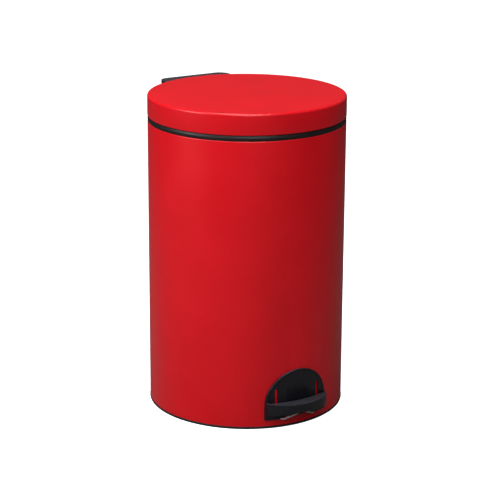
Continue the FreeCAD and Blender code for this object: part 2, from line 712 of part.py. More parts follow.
def cover_prism(inset, z0, z1):
    """Plan of the hinge cover: straight rear edge, rounded corners, sides running to the lid."""
    rear = COVER_REAR - inset
    half = COVER_HALF - inset
    turn_y = COVER_REAR - (COVER_HALF - COVER_REAR_HALF)
    radius = COVER_HALF - COVER_REAR_HALF - inset
    reach = radius / math.sqrt(2)
    edges = []
    corner_x = half - radius
    edges.append(Part.makeLine(vec(-half, 100, z0), vec(-half, turn_y, z0)))
    edges.append(Part.Arc(vec(-half, turn_y, z0), vec(-corner_x - reach, turn_y + reach, z0),
                          vec(-corner_x, rear, z0)).toShape())
    edges.append(Part.makeLine(vec(-corner_x, rear, z0), vec(corner_x, rear, z0)))
    edges.append(Part.Arc(vec(corner_x, rear, z0), vec(corner_x + reach, turn_y + reach, z0),
                          vec(half, turn_y, z0)).toShape())
    edges.append(Part.makeLine(vec(half, turn_y, z0), vec(half, 100, z0)))
    edges.append(Part.makeLine(vec(half, 100, z0), vec(-half, 100, z0)))
    return Part.Face(Part.Wire(edges)).extrude(vec(0, 0, z1 - z0))


def lid_hinge_cover():
    hood = cover_prism(0, COVER_LOW, COVER_TOP)
    hood = hood.cut(cover_prism(COVER_WALL, COVER_LOW - 1, COVER_TOP - COVER_WALL))
    for x in (-COVER_SCREW_X, COVER_SCREW_X):
        boss = Part.makeCylinder(3.6, COVER_REAR - ARM_REAR - 1.1, vec(x, ARM_REAR + 0.1, COVER_SCREW_Z),
                                 vec(0, 1, 0))
        hood = hood.fuse(boss)
    hood = hood.cut(disc(LID_R + 0.1, 0, TOP)).removeSplitter()
    for x in (-COVER_SCREW_X, COVER_SCREW_X):
        hood = hood.cut(Part.makeCylinder(SMALL_HOLE_R, 60, vec(x, 110, COVER_SCREW_Z), vec(0, 1, 0)))
    return hood


def cover_screws():
    screws = []
    for x in (-COVER_SCREW_X, COVER_SCREW_X):
        shank = Part.makeCylinder(SMALL_HOLE_R - 0.05, COVER_REAR - ARM_REAR + 4.5,
                                  vec(x, ARM_REAR - 4, COVER_SCREW_Z), vec(0, 1, 0))
        head = Part.makeCylinder(3.4, 1.2, vec(x, COVER_REAR + 0.03, COVER_SCREW_Z), vec(0, 1, 0))
        slot = block(x - 4, x + 4, COVER_REAR + 0.7, COVER_REAR + 4, COVER_SCREW_Z - 0.5,
                     COVER_SCREW_Z + 0.5)
        screws.append(joined([shank, head]).cut(slot))
    return group(screws)


# ---- Lift-out bucket and its bail ----
EAR_X = 105.2             # inner face of the bail's ears
EAR_PLATE = 1.5
EAR_HALF = 9.0
EAR_LOW = 352.0
EAR_RIVET_Y = 5.5
EAR_RIVET_Z = 360.0
ROLL_R = 2.0              # the bucket's rolled edge
BAIL_Z = 381.0
BAIL_R = 2.0
GRIP_R = 4.5
BAIL_RISE = 1.1           # how much higher the bail's front lies than its ends
GRIP_ANGLE = 21.0         # the grip covers this much of the bail either side of its front


def bucket():
    base = BUCKET_FLOOR
    wall = spun([
        (0, base + 3.0), (92, base + 3.0), (95, base), (101.0, base), (102.4, base + 1.5),
        (108.7, BUCKET_RIM_Z), (107.9, BUCKET_RIM_Z), (101.6, base + 2.4), (100.6, base + 1.0),
        (95.4, base + 1.0), (92.4, base + 4.0), (0, base + 4.0),
    ])
    roll = Part.makeTorus(BUCKET_RIM_R, ROLL_R, vec(0, 0, BUCKET_RIM_Z))
    pail = joined([wall, roll])
    for y in (-EAR_RIVET_Y, EAR_RIVET_Y):
        pail = pail.cut(rod_x(100, 120, y, EAR_RIVET_Z, SMALL_HOLE_R))
        pail = pail.cut(rod_x(-120, -100, y, EAR_RIVET_Z, SMALL_HOLE_R))
    return pail


def bucket_ears():
    outer, top = EAR_X + EAR_PLATE, BAIL_Z - 2
    crown = rod_x(EAR_X, outer, 0, top, EAR_HALF).cut(block(EAR_X - 1, outer + 1, -10, 10, 300, 370))
    plate = block(EAR_X, outer, -EAR_HALF, EAR_HALF, EAR_LOW, top).fuse(crown).removeSplitter()
    plate = plate.cut(rod_x(90, 120, 0, BAIL_Z, BAIL_R + 0.08))
    for y in (-EAR_RIVET_Y, EAR_RIVET_Y):
        plate = plate.cut(rod_x(90, 120, y, EAR_RIVET_Z, SMALL_HOLE_R))
    return group([plate, mirrored(plate)])


def ear_rivets():
    rivets = []
    for y in (-EAR_RIVET_Y, EAR_RIVET_Y):
        shank = rod_x(EAR_X - 0.6, 109.4, y, EAR_RIVET_Z, SMALL_HOLE_R - 0.05)
        inner_head = rod_x(EAR_X - 1.1, EAR_X - 0.05, y, EAR_RIVET_Z, 3.0)
        outer_head = rod_x(108.7, 109.6, y, EAR_RIVET_Z, 2.8)
        rivet = joined([shank, inner_head, outer_head])
        rivets += [rivet, mirrored(rivet)]
    return group(rivets)


def bail_arc(start, end, minor):
    """Part of a ring lying flat; 0 is the front, and the angle runs both ways to the ears."""
    ring = Part.makeTorus(BUCKET_RIM_R, minor, vec(0, 0, BAIL_Z), vec(0, 0, 1), 0, 360, end - start)
    ring.rotate(vec(0, 0, 0), vec(0, 0, 1), -90 + start)
    return ring


def laid_down(shape):
    """Tips a flat bail so its front rests on the bucket's rim."""
    shape.rotate(vec(0, 0, BAIL_Z), vec(1, 0, 0), -math.degrees(math.atan2(BAIL_RISE, BUCKET_RIM_R)))
    return shape


def bucket_handle():
    pieces = [bail_arc(-90, 90, BAIL_R)]
    for side in (-1, 1):
        pieces.append(ball(side * BUCKET_RIM_R, 0, BAIL_Z, BAIL_R))
        x0, x1 = sorted((side * (EAR_X - 1.8), side * BUCKET_RIM_R))
        pieces.append(rod_x(x0, x1, 0, BAIL_Z, BAIL_R))
    return laid_down(joined(pieces))


def handle_grip():
    bore = GRIP_ANGLE + 3
    grip = bail_arc(-GRIP_ANGLE, GRIP_ANGLE, GRIP_R).cut(bail_arc(-bore, bore, BAIL_R + 0.03))
    return laid_down(grip)


NODES = {
    "outer_shell": outer_shell, "top_rim": top_rim, "base_pan": base_pan, "floor_ring": floor_ring,
    "pedal_bezel": pedal_bezel, "bezel_screws": bezel_screws,
    "hinge_bracket": hinge_bracket, "bracket_rivets": bracket_rivets,
    "hinge_pin": hinge_pin, "hinge_pin_clips": hinge_pin_clips,
    "rod_guide": rod_guide, "guide_rivet": guide_rivet,
    "pivot_bracket": pivot_bracket, "pivot_rivets": pivot_rivets,
    "pivot_pin": pivot_pin, "pivot_pin_clips": pivot_pin_clips,
    "lever_stop": lever_stop, "pedal_spring": pedal_spring,
    "pedal_pad": pedal_pad, "pedal_lever": pedal_lever, "pedal_screws": pedal_screws,
    "lift_rod": lift_rod, "rod_clips": rod_clips,
    "lid_shell": lid_shell, "lid_inner_ring": lid_inner_ring, "lid_bumpers": lid_bumpers,
    "lid_hinge_arm": lid_hinge_arm, "lid_arm_rivets": lid_arm_rivets,
    "lid_hinge_cover": lid_hinge_cover, "cover_screws": cover_screws,
    "bucket": bucket, "bucket_ears": bucket_ears, "ear_rivets": ear_rivets,
    "bucket_handle": bucket_handle, "handle_grip": handle_grip,
}

os.makedirs("parts", exist_ok=True)
for name, make in NODES.items():
    shape = make()
    solids = shape.Solids
    shape = solids[0] if len(solids) == 1 else Part.makeCompound(solids)
    shape.exportStep("parts/" + name + ".step")
    print(name, len(solids), "valid" if shape.isValid() else "INVALID", round(shape.Volume, 1))
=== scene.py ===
import bpy
import json
import math
from mathutils import Euler, Matrix, Vector


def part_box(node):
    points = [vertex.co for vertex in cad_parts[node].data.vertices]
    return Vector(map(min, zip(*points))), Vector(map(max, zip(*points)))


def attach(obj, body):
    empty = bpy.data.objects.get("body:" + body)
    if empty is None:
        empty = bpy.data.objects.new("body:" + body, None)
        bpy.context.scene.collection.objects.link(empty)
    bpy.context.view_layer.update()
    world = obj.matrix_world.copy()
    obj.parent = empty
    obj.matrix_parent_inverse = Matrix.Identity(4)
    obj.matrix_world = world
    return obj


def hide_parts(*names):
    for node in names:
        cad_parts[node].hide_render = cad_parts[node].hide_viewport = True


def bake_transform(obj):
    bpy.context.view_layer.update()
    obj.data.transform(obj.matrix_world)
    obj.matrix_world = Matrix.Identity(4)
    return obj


# A round pedal bin in red powder-coated steel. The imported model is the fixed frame: it gives every
# size and place. Lengths are worked in millimetres and turned into metres by MM as a mesh is made.

MM = 0.001

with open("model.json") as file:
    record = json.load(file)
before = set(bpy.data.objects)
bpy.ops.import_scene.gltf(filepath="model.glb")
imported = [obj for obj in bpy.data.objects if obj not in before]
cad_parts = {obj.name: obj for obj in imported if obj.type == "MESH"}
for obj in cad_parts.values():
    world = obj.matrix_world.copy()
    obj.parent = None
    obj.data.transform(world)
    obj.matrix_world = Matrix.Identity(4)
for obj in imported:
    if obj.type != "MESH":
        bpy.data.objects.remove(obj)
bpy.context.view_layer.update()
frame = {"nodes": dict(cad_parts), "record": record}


def span(node):
    """Lowest and highest corner of a CAD node, in millimetres."""
    low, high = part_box(node)
    return low / MM, high / MM


# ---- Camera ----

CAMERA_DISTANCE = 2.1858      # metres, level, from the body's axis
CAMERA_HEIGHT = 0.8564
CAMERA_SIDE = 31.3            # degrees that the camera stands round from the pedal, to its left
CAMERA_HEADING = 31.425
CAMERA_PITCH = 16.798
CAMERA_ROLL = 0.3415
CAMERA_LENS = 127.9


def make_camera():
    data = bpy.data.cameras.new("camera")
    data.lens = CAMERA_LENS
    data.sensor_width = 36.0
    camera = bpy.data.objects.new("camera", data)
    bpy.context.scene.collection.objects.link(camera)
    tilt = Euler((math.radians(90.0 - CAMERA_PITCH), 0.0, math.radians(-CAMERA_HEADING)))
    roll = Matrix.Rotation(math.radians(CAMERA_ROLL), 4, "Z")
    place = Matrix.Translation(from_camera(0.0, CAMERA_DISTANCE, CAMERA_HEIGHT))
    camera.matrix_world = place @ tilt.to_matrix().to_4x4() @ roll
    bpy.context.scene.camera = camera


def from_camera(right, toward, up):
    """A place in metres: to the camera's right of the body's axis, towards the camera, and up."""
    turn = math.radians(CAMERA_SIDE)
    x = right * math.cos(turn) - toward * math.sin(turn)
    y = -right * math.sin(turn) - toward * math.cos(turn)
    return Vector((x, y, up))


# ---- Studio ----

WHITE = (1, 1, 1, 1)
WORLD_GREY = 0.085
BACKGROUND_WHITE = 1.05
FLOOR_RADIUS = 12.0
FLOOR_GLOW = 1.0              # what the camera sees of the floor is lifted to white by this much
LIGHT_AIM = (0.0, 0.0, 0.2)
# name, place (right, toward, up), width, height, watts
SOFTBOXES = (
    ("key_softbox", (-1.9, 0.85, 1.3), 1.0, 1.4, 27.0),
    ("fill_softbox", (0.2, 2.2, 1.9), 1.3, 1.3, 30.0),
    ("top_softbox", (-0.2, 0.3, 2.1), 1.0, 1.0, 25.0),
)


def add_node(tree, kind, values=None, feeds=None, **settings):
    """Adds a node with its settings, socket values and incoming links."""
    node = tree.nodes.new(kind)
    for setting, value in settings.items():
        setattr(node, setting, value)
    for socket, value in (values or {}).items():
        node.inputs[socket].default_value = value
    for socket, source in (feeds or {}).items():
        tree.links.new(source, node.inputs[socket])
    return node


def linear(hex_colour):
    """sRGB hex to the linear colour that a shader takes."""
    parts = [int(hex_colour[i:i + 2], 16) / 255.0 for i in (1, 3, 5)]
    return [p / 12.92 if p <= 0.04045 else ((p + 0.055) / 1.055) ** 2.4 for p in parts] + [1.0]


def make_softboxes():
    for name, place, width, height, watts in SOFTBOXES:
        data = bpy.data.lights.new(name, "AREA")
        data.shape = "RECTANGLE"
        data.size = width
        data.size_y = height
        data.energy = watts
        light = bpy.data.objects.new(name, data)
        bpy.context.scene.collection.objects.link(light)
        light.location = from_camera(*place)
        light.rotation_euler = (Vector(LIGHT_AIM) - light.location).to_track_quat("-Z", "Y").to_euler()


def make_world():
    """Grey light all round, against a white background."""
    world = bpy.data.worlds.new("studio")
    bpy.context.scene.world = world
    world.use_nodes = True
    tree = world.node_tree
    tree.nodes.clear()
    light = add_node(tree, "ShaderNodeBackground", {"Color": WHITE, "Strength": WORLD_GREY})
    white = add_node(tree, "ShaderNodeBackground", {"Color": WHITE, "Strength": BACKGROUND_WHITE})
    seen = add_node(tree, "ShaderNodeLightPath")
    both = add_node(tree, "ShaderNodeMixShader", None, {
        0: seen.outputs["Is Camera Ray"], 1: light.outputs[0], 2: white.outputs[0]})
    add_node(tree, "ShaderNodeOutputWorld", None, {"Surface": both.outputs[0]})


def make_floor():
    """A pale studio floor. It looks white, and throws back only a little light on the bin."""
    clear_selection()
    bpy.ops.mesh.primitive_circle_add(vertices=128, radius=FLOOR_RADIUS, fill_type="NGON")
    floor = bpy.context.object
    floor.name = "studio_floor"
    material = bpy.data.materials.new("white_studio_sweep")
    material.use_nodes = True
    tree = material.node_tree
    tree.nodes.clear()
    paper = add_node(tree, "ShaderNodeBsdfDiffuse", {"Color": linear("#F4F4F4")})
    glow = add_node(tree, "ShaderNodeEmission", {"Color": WHITE, "Strength": FLOOR_GLOW})
    lit = add_node(tree, "ShaderNodeAddShader", None, {0: paper.outputs[0], 1: glow.outputs[0]})
    dim = add_node(tree, "ShaderNodeBsdfDiffuse", {"Color": linear("#707070")})
    seen = add_node(tree, "ShaderNodeLightPath")
    both = add_node(tree, "ShaderNodeMixShader", None, {
        0: seen.outputs["Is Camera Ray"], 1: dim.outputs[0], 2: lit.outputs[0]})
    add_node(tree, "ShaderNodeOutputMaterial", None, {"Surface": both.outputs[0]})
    floor.data.materials.append(material)


# ---- Materials ----

NOISE_SPREAD = (0.3, 0.7)     # where a noise's low and high values are taken
UPWARD = (0.75, 0.98)         # upward part of a face's direction, from not upward to fully upward


def surface(name, colours, patch, rough, grain, depth, metallic=0.0, cells=False, top_light_colour=None):
    """One procedural finish, in millimetres. Its colour drifts between two sRGB values over patches,
    its roughness between two values with it, and a finer grain of some depth gives the relief.
    Faces that lie upward on the piece can get a paler colour, painted light standing in for light from
    above."""
    material = bpy.data.materials.new(name)
    material.use_nodes = True
    tree = material.node_tree
    shader = tree.nodes["Principled BSDF"]
    shader.inputs["Metallic"].default_value = metallic
    place = add_node(tree, "ShaderNodeTexCoord")
    where = place.outputs["Object"]
    if cells:
        patches = add_node(tree, "ShaderNodeTexVoronoi", {"Scale": 1.0 / (patch * MM)},
                           {"Vector": where})
        amount = patches.outputs["Color"]
    else:
        patches = add_node(tree, "ShaderNodeTexNoise", {"Scale": 1.0 / (patch * MM), "Detail": 3.0},
                           {"Vector": where})
        amount = patches.outputs["Fac"]
    ramp = add_node(tree, "ShaderNodeValToRGB", None, {"Fac": amount})
    for stop, position, colour in zip(ramp.color_ramp.elements, NOISE_SPREAD, colours):
        stop.position = position
        stop.color = linear(colour)
    spread = add_node(tree, "ShaderNodeMapRange", {
        "From Min": NOISE_SPREAD[0], "From Max": NOISE_SPREAD[1],
        "To Min": rough[0], "To Max": rough[1]}, {"Value": amount})
    relief = add_node(tree, "ShaderNodeTexNoise", {"Scale": 1.0 / (grain * MM), "Detail": 2.0},
                      {"Vector": where})
    bump = add_node(tree, "ShaderNodeBump", {"Distance": depth * MM, "Strength": 1.0},
                    {"Height": relief.outputs["Fac"]})
    colour = ramp.outputs[0]
    # Painted light: faces lying upward get the paler colour, standing in for light from above.
    if top_light_colour:
        upward = add_node(tree, "ShaderNodeSeparateXYZ", None, {0: place.outputs["Normal"]})
        top_light_mask = add_node(tree, "ShaderNodeMapRange", {
            "From Min": UPWARD[0], "From Max": UPWARD[1]}, {"Value": upward.outputs[2]})
        top_light_mix = add_node(tree, "ShaderNodeMix", {7: linear(top_light_colour)},
                         {0: top_light_mask.outputs[0], 6: colour}, data_type="RGBA")
        colour = top_light_mix.outputs[2]
    tree.links.new(colour, shader.inputs["Base Color"])
    tree.links.new(spread.outputs[0], shader.inputs["Roughness"])
    tree.links.new(bump.outputs[0], shader.inputs["Normal"])
    return material


def make_materials():
    """The finishes by the record's slot names."""
    return {
        # Polyester powder coat: even strong red, faint orange-peel dimples, soft broad highlights.
        "red_powder_coat": surface("red_powder_coated_steel", ("#E20818", "#E90B1C"), 60.0,
                                   (0.29, 0.35), 1.6, 0.006),
        # Polypropylene from a matt mould: warm black, dull, slightly waxy.
        "black_rim_plastic": surface("moulded_polypropylene", ("#171110", "#1D1615"), 14.0,
                                     (0.42, 0.52), 0.5, 0.02),
        # ABS from a spark-eroded mould: cool black, fine even grain, satin. Its upward
        # faces are made paler, which stands in for light from above.
        "black_trim_plastic": surface("moulded_abs", ("#121217", "#191920"), 12.0,
                                      (0.26, 0.36), 0.45, 0.012, top_light_colour="#38373E"),
        # Moulded rubber: deep matt black.
        "black_rubber": surface("moulded_rubber", ("#0E0E0E", "#191818"), 8.0, (0.7, 0.85), 0.6, 0.03),
        # Stoved enamel on pressed steel: thin hard black paint, about as glossy as the trim.
        "black_painted_steel": surface("stoved_black_enamel", ("#0F0F10", "#151516"), 20.0,
                                       (0.28, 0.36), 1.2, 0.008),
        # Zinc plate, bright dipped: pale steel with a cloudy blue-yellow cast.
        "zinc_hardware": surface("bright_zinc_plate", ("#B9B7AE", "#C9CBD0"), 3.0, (0.22, 0.34),
                                 0.4, 0.01, metallic=1.0),
        # Hot-dip galvanised sheet: zinc crystals about a centimetre across, each a different grey.
        "galvanised_sheet": surface("galvanised_sheet_steel", ("#9AA0A4", "#BCC1C4"), 9.0,
                                    (0.30, 0.46), 1.5, 0.008, metallic=1.0, cells=True),
        # Drawn bright wire: near-white steel with a fine grain and a soft sheen.
        "bright_wire": surface("bright_drawn_wire", ("#DEDBD5", "#F0EDE8"), 4.0, (0.34, 0.44),
                               0.3, 0.006, metallic=1.0),
    }


# ---- Modelling steps ----

def clear_selection():
    bpy.ops.object.select_all(action="DESELECT")


def make_active(piece):
    clear_selection()
    piece.select_set(True)
    bpy.context.view_layer.objects.active = piece


def settle(piece):
    """Moves a piece's place, turn and size into its mesh."""
    make_active(piece)
    bpy.ops.object.transform_apply(location=True, rotation=True, scale=True)


def apply_modifier(piece, kind, **settings):
    modifier = piece.modifiers.new("step", kind)
    for setting, value in settings.items():
        setattr(modifier, setting, value)
    make_active(piece)
    bpy.ops.object.modifier_apply(modifier=modifier.name)


def cut_away(piece, cutter):
    """Takes the cutter's shape out of a piece."""
    apply_modifier(piece, "BOOLEAN", operation="DIFFERENCE", solver="EXACT", object=cutter)
    bpy.data.objects.remove(cutter)


def add_on(piece, other):
    """Joins another solid to a piece as one."""
    apply_modifier(piece, "BOOLEAN", operation="UNION", solver="EXACT", object=other)
    bpy.data.objects.remove(other)


def soften(piece, width, segments=3, angle=32.0):
    """Rounds the sharp edges by a width in millimetres."""
    apply_modifier(piece, "BEVEL", width=width * MM, segments=segments, limit_method="ANGLE",
                   angle_limit=math.radians(angle), use_clamp_overlap=True, miter_outer="MITER_ARC")


def smooth(piece, angle=40.0):
    make_active(piece)
    bpy.ops.object.shade_smooth_by_angle(angle=math.radians(angle))


def brick(x0, x1, y0, y1, z0, z1, name="brick"):
    """A block between corners in millimetres."""
    clear_selection()
    centre = Vector((x0 + x1, y0 + y1, z0 + z1)) * 0.5 * MM
    size = Vector((x1 - x0, y1 - y0, z1 - z0)) * MM
    bpy.ops.mesh.primitive_cube_add(size=1.0, location=centre)
    block = bpy.context.object
    block.name = name
    block.scale = size
    settle(block)
    return block


def round_bar(radius, start, end, vertices=64, name="bar", end_radius=None):
    """A round bar, or a cone when end_radius is given, between two points in millimetres."""
    clear_selection()
    a, b = Vector(start) * MM, Vector(end) * MM
    turn = (b - a).to_track_quat("Z", "Y").to_euler()
    tip = radius if end_radius is None else end_radius
    bpy.ops.mesh.primitive_cone_add(vertices=vertices, radius1=radius * MM, radius2=tip * MM,
                                    depth=(b - a).length, location=(a + b) * 0.5, rotation=turn)
    bar = bpy.context.object
    bar.name = name
    settle(bar)
    return bar


def rounded(corners, steps=5):
    """A closed outline from (radius, height, fillet) corners, each fillet an arc of a few points."""
    outline = []
    count = len(corners)
    for i, (r, z, fillet) in enumerate(corners):
        corner = Vector((r, z))
        if fillet == 0:
            outline.append((r, z))
            continue
        before = (Vector(corners[i - 1][:2]) - corner).normalized()
        after = (Vector(corners[(i + 1) % count][:2]) - corner).normalized()
        half = before.angle(after) / 2
        reach = fillet / math.tan(half)
        centre = corner + (before + after).normalized() * fillet / math.sin(half)
        first, last = corner + before * reach - centre, corner + after * reach - centre
        turn = math.pi - 2 * half
        for step in range(steps + 1):
            s = step / steps
            arm = (first * math.sin((1 - s) * turn) + last * math.sin(s * turn)) / math.sin(turn)
            outline.append(tuple(centre + arm))
    return outline


def turned(name, outline, closed=True, segments=224):
    """Extrudes a ring along an outline of (radius, height) millimetres, and closes it."""
    clear_selection()
    path = list(outline) + (list(outline[:1]) if closed else [])
    r, z = path[0]
    bpy.ops.mesh.primitive_circle_add(vertices=segments, radius=r * MM, fill_type="NOTHING")
    piece = bpy.context.object
    piece.name = name
    bpy.ops.object.mode_set(mode="EDIT")
    bpy.ops.mesh.select_all(action="SELECT")
    bpy.ops.transform.translate(value=(0, 0, z * MM))
    for next_r, next_z in path[1:]:
        bpy.ops.mesh.extrude_edges_move(TRANSFORM_OT_translate={"value": (0, 0, (next_z - z) * MM)})
        bpy.ops.transform.resize(value=(next_r / r, next_r / r, 1), center_override=(0, 0, next_z * MM))
        r, z = next_r, next_z
    bpy.ops.mesh.select_all(action="SELECT")
    bpy.ops.mesh.remove_doubles(threshold=1e-6)
    bpy.ops.mesh.fill_holes(sides=0)
    bpy.ops.mesh.select_all(action="SELECT")
    bpy.ops.mesh.normals_make_consistent(inside=False)
    bpy.ops.object.mode_set(mode="OBJECT")
    return piece


def select_faces(piece, test):
    """Goes into edit mode with the faces selected whose centre, in millimetres, and normal pass."""
    make_active(piece)
    bpy.ops.object.mode_set(mode="EDIT")
    bpy.ops.mesh.select_all(action="DESELECT")
    bpy.ops.object.mode_set(mode="OBJECT")
    for face in piece.data.polygons:
        face.select = test(face.center / MM, face.normal)
    bpy.ops.object.mode_set(mode="EDIT")
    bpy.ops.mesh.select_mode(type="FACE")


def leave_edit():
    bpy.ops.object.mode_set(mode="OBJECT")


def select_edges(piece, test):
    """Goes into edit mode with the edges selected whose two ends, in millimetres, pass."""
    make_active(piece)
    bpy.ops.object.mode_set(mode="EDIT")
    bpy.ops.mesh.select_mode(type="EDGE")
    bpy.ops.mesh.select_all(action="DESELECT")
    bpy.ops.object.mode_set(mode="OBJECT")
    points = piece.data.vertices
    for edge in piece.data.edges:
        a, b = (points[i].co / MM for i in edge.vertices)
        edge.select = test(a, b)
    bpy.ops.object.mode_set(mode="EDIT")


def is_upright(a, b):
    return abs(a.z - b.z) > 1.0 and (a.xy - b.xy).length < 0.01


def dress(piece, body, slot, *nodes):
    """Gives a finished piece its finish, its body and the CAD nodes that it stands for."""
    piece.data.materials.clear()
    piece.data.materials.append(FINISH[slot])
    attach(piece, body)
    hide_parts(*nodes)


# ---- Lid ----

SHEET = 1.0
LID_CROWN = 0.5
LID_CORNER = 3.0
NOTCH_FRONT = 113.0           # the crank's notch at the rear, from here back
NOTCH_BACK = 150.0
NOTCH_LOW = 364.0
NOTCH_HALF = 12.0
LID_NOTCH_FRONT = 100.0
LID_NOTCH_HALF = 12.5
LID_NOTCH_TOP = 386.0


def make_lid():
    """A pressed lid: slightly crowned top, small corner radius, and a hem rolled in at its edge."""
    low, high = span("lid_shell")
    radius, top, edge = high.x, high.z, low.z
    flat = radius - 3.6
    crown = [(r, top - LID_CROWN * (r / flat) ** 2) for r in (0.4, 25, 50, 75, 95, 110, flat - 1, flat)]
    corner = rounded([(flat, top - LID_CROWN, 0), (radius, top - LID_CROWN, LID_CORNER),
                      (radius, edge, 0.8), (radius - 1.9, edge, 0.8), (radius - 1.9, edge + 2.8, 0.3),
                      (radius - SHEET, edge + 3.2, 0.3), (radius - SHEET, top - LID_CROWN - SHEET, 2.0),
                      (flat, top - LID_CROWN - SHEET, 0)], steps=7)
    under = [(r, z - SHEET) for r, z in reversed(crown)]
    lid = turned("lid_pressing", crown + corner[1:-1] + under, closed=False)
    cut_away(lid, brick(-LID_NOTCH_HALF, LID_NOTCH_HALF, LID_NOTCH_FRONT, NOTCH_BACK,
                        edge - 5, LID_NOTCH_TOP))
    smooth(lid)
    dress(lid, "lid", "red_powder_coat", "lid_shell")


# ---- Body shell ----

WINDOW_HALF = 11.0
WINDOW_LOW = 12.6
WINDOW_TOP = 31.0


def rear_notch(top):
    return brick(-NOTCH_HALF, NOTCH_HALF, NOTCH_FRONT, NOTCH_BACK, NOTCH_LOW, top)


def make_body():
    """The steel wall with its hem folded in at the top, the pedal's window and the crank's notch."""
    low, high = span("outer_shell")
    radius, top = high.x, high.z
    wall = turned("body_wall", rounded([
        (radius - 0.8, low.z, 0.25), (radius, low.z, 0.35), (radius, top, 0.9),
        (radius - 1.8, top, 0.85), (radius - 1.8, top - 6.0, 0.3), (radius - 0.8, top - 6.6, 0.3)]))
    cut_away(wall, rear_notch(top + 5))
    cut_away(wall, brick(-WINDOW_HALF, WINDOW_HALF, -150, -100, WINDOW_LOW, WINDOW_TOP))
    smooth(wall)
    dress(wall, "can", "red_powder_coat", "outer_shell")


def make_rim():
    """The plastic rim that closes the gap under the lid, carries the bucket and stands up inside."""
    low, high = span("top_rim")
    shell_top = span("outer_shell")[1].z
    leg_in, leg_out, ledge, ledge_in, band_top = 121.6, 123.2, 373.0, 109.2, 375.4
    collar_in, collar_out = 116.0, 118.5
    radius = high.x
    ring = turned("rim_moulding", rounded([
        (leg_in, low.z, 0.4), (leg_out, low.z, 0.4), (leg_out, shell_top + 0.1, 0),
        (radius - 0.5, shell_top + 0.1, 0.35), (radius, shell_top + 3.6, 2.0),
        (radius - 0.9, band_top, 1.2), (collar_out, band_top, 0.5), (collar_out, high.z, 1.0),
        (collar_in, high.z, 1.0), (collar_in, ledge, 0.6), (ledge_in, ledge, 0.8),
        (ledge_in, ledge - 3.0, 0.8), (leg_in, ledge - 3.0, 0.8)], steps=4))
    cut_away(ring, rear_notch(high.z + 5))
    smooth(ring)
    dress(ring, "can", "black_rim_plastic", "top_rim")


# ---- Pedal bezel ----

BEZEL_INNER = 0.05            # millimetres clear of the wall
BEZEL_SKIN = 2.2
BEZEL_RIM = 3.0
BEZEL_BORDER = 2.2
BEZEL_BORDER_SLOPE = 0.7
BEZEL_SLOT_X = 30.0
SLOT_HALF = 1.8
SLOT_LOW = 28.0
SLOT_TOP = 52.5
SLOT_CORNER = 1.2
LEVER_GAP_HALF = 11.0
LEVER_GAP_TOP = 30.5
FOOT_GAP_HALF = 27.0          # half width of that opening at the bezel's foot
FOOT_GAP_RISE = 4.5


def make_bezel():
    """An arched plate with a raised border, modelled flat and then laid round the wall."""
    low, high = span("pedal_bezel")
    wall = span("outer_shell")[1].x
    half, foot = high.x, low.z
    spring_line = high.z - half
    clear_selection()
    bpy.ops.mesh.primitive_circle_add(vertices=96, radius=half * MM, fill_type="NGON",
                                      location=(0, 0, spring_line * MM),
                                      rotation=(math.radians(90), 0, 0))
    bezel = bpy.context.object
    bezel.name = "bezel_moulding"
    settle(bezel)
    bpy.ops.object.mode_set(mode="EDIT")
    bpy.ops.mesh.select_all(action="SELECT")
    bpy.ops.mesh.bisect(plane_co=(0, 0, spring_line * MM), plane_no=(0, 0, 1), clear_inner=True,
                        use_fill=False)
    bpy.ops.object.mode_set(mode="OBJECT")
    add_skirt(bezel, spring_line, foot)
    apply_modifier(bezel, "SOLIDIFY", thickness=(BEZEL_RIM - BEZEL_INNER) * MM, offset=0.0)
    drop = (BEZEL_RIM + BEZEL_INNER) / 2
    for point in bezel.data.vertices:
        point.co.y -= drop * MM
    select_faces(bezel, lambda centre, normal: normal.y < -0.9)
    bpy.ops.mesh.inset(thickness=BEZEL_BORDER * MM, depth=0.0)
    bpy.ops.mesh.inset(thickness=BEZEL_BORDER_SLOPE * MM, depth=-(BEZEL_RIM - BEZEL_SKIN) * MM)
    leave_edit()
    for x in (-BEZEL_SLOT_X, BEZEL_SLOT_X):
        slot = brick(x - SLOT_HALF, x + SLOT_HALF, -10, 10, SLOT_LOW, SLOT_TOP)
        select_edges(slot, lambda a, b: abs(a.y - b.y) > 1.0)
        bpy.ops.mesh.bevel(offset=SLOT_CORNER * MM, segments=4, affect="EDGES")
        leave_edit()
        cut_away(bezel, slot)
    cut_away(bezel, under_cut(foot))
    soften(bezel, 0.35, segments=3, angle=30)
    lay_round(bezel, wall)
    smooth(bezel, 50)
    dress(bezel, "can", "black_trim_plastic", "pedal_bezel")


def add_skirt(bezel, spring_line, foot):
    """Extrudes the arch's straight lower edge down to the bezel's foot."""
    select_edges(bezel, lambda a, b: max(abs(a.z - spring_line), abs(b.z - spring_line)) < 0.01)
    bpy.ops.mesh.extrude_edges_move(TRANSFORM_OT_translate={"value": (0, 0, (foot - spring_line) * MM)})
    bpy.ops.mesh.select_all(action="SELECT")
    bpy.ops.mesh.dissolve_limited(angle_limit=math.radians(0.5))
    leave_edit()


def under_cut(foot):
    """The opening for the lever: a centre slot whose lower part spreads out to the feet."""
    slot = brick(-LEVER_GAP_HALF, LEVER_GAP_HALF, -10, 10, foot - 5, LEVER_GAP_TOP)
    flare = brick(-FOOT_GAP_HALF, FOOT_GAP_HALF, -10, 10, foot - 5, foot)
    select_faces(flare, lambda centre, normal: normal.z > 0.9)
    bpy.ops.mesh.extrude_region_move(TRANSFORM_OT_translate={"value": (0, 0, FOOT_GAP_RISE * MM)})
    bpy.ops.transform.resize(value=(LEVER_GAP_HALF / FOOT_GAP_HALF, 1, 1), center_override=(0, 0, 0))
    leave_edit()
    add_on(slot, flare)
    return slot


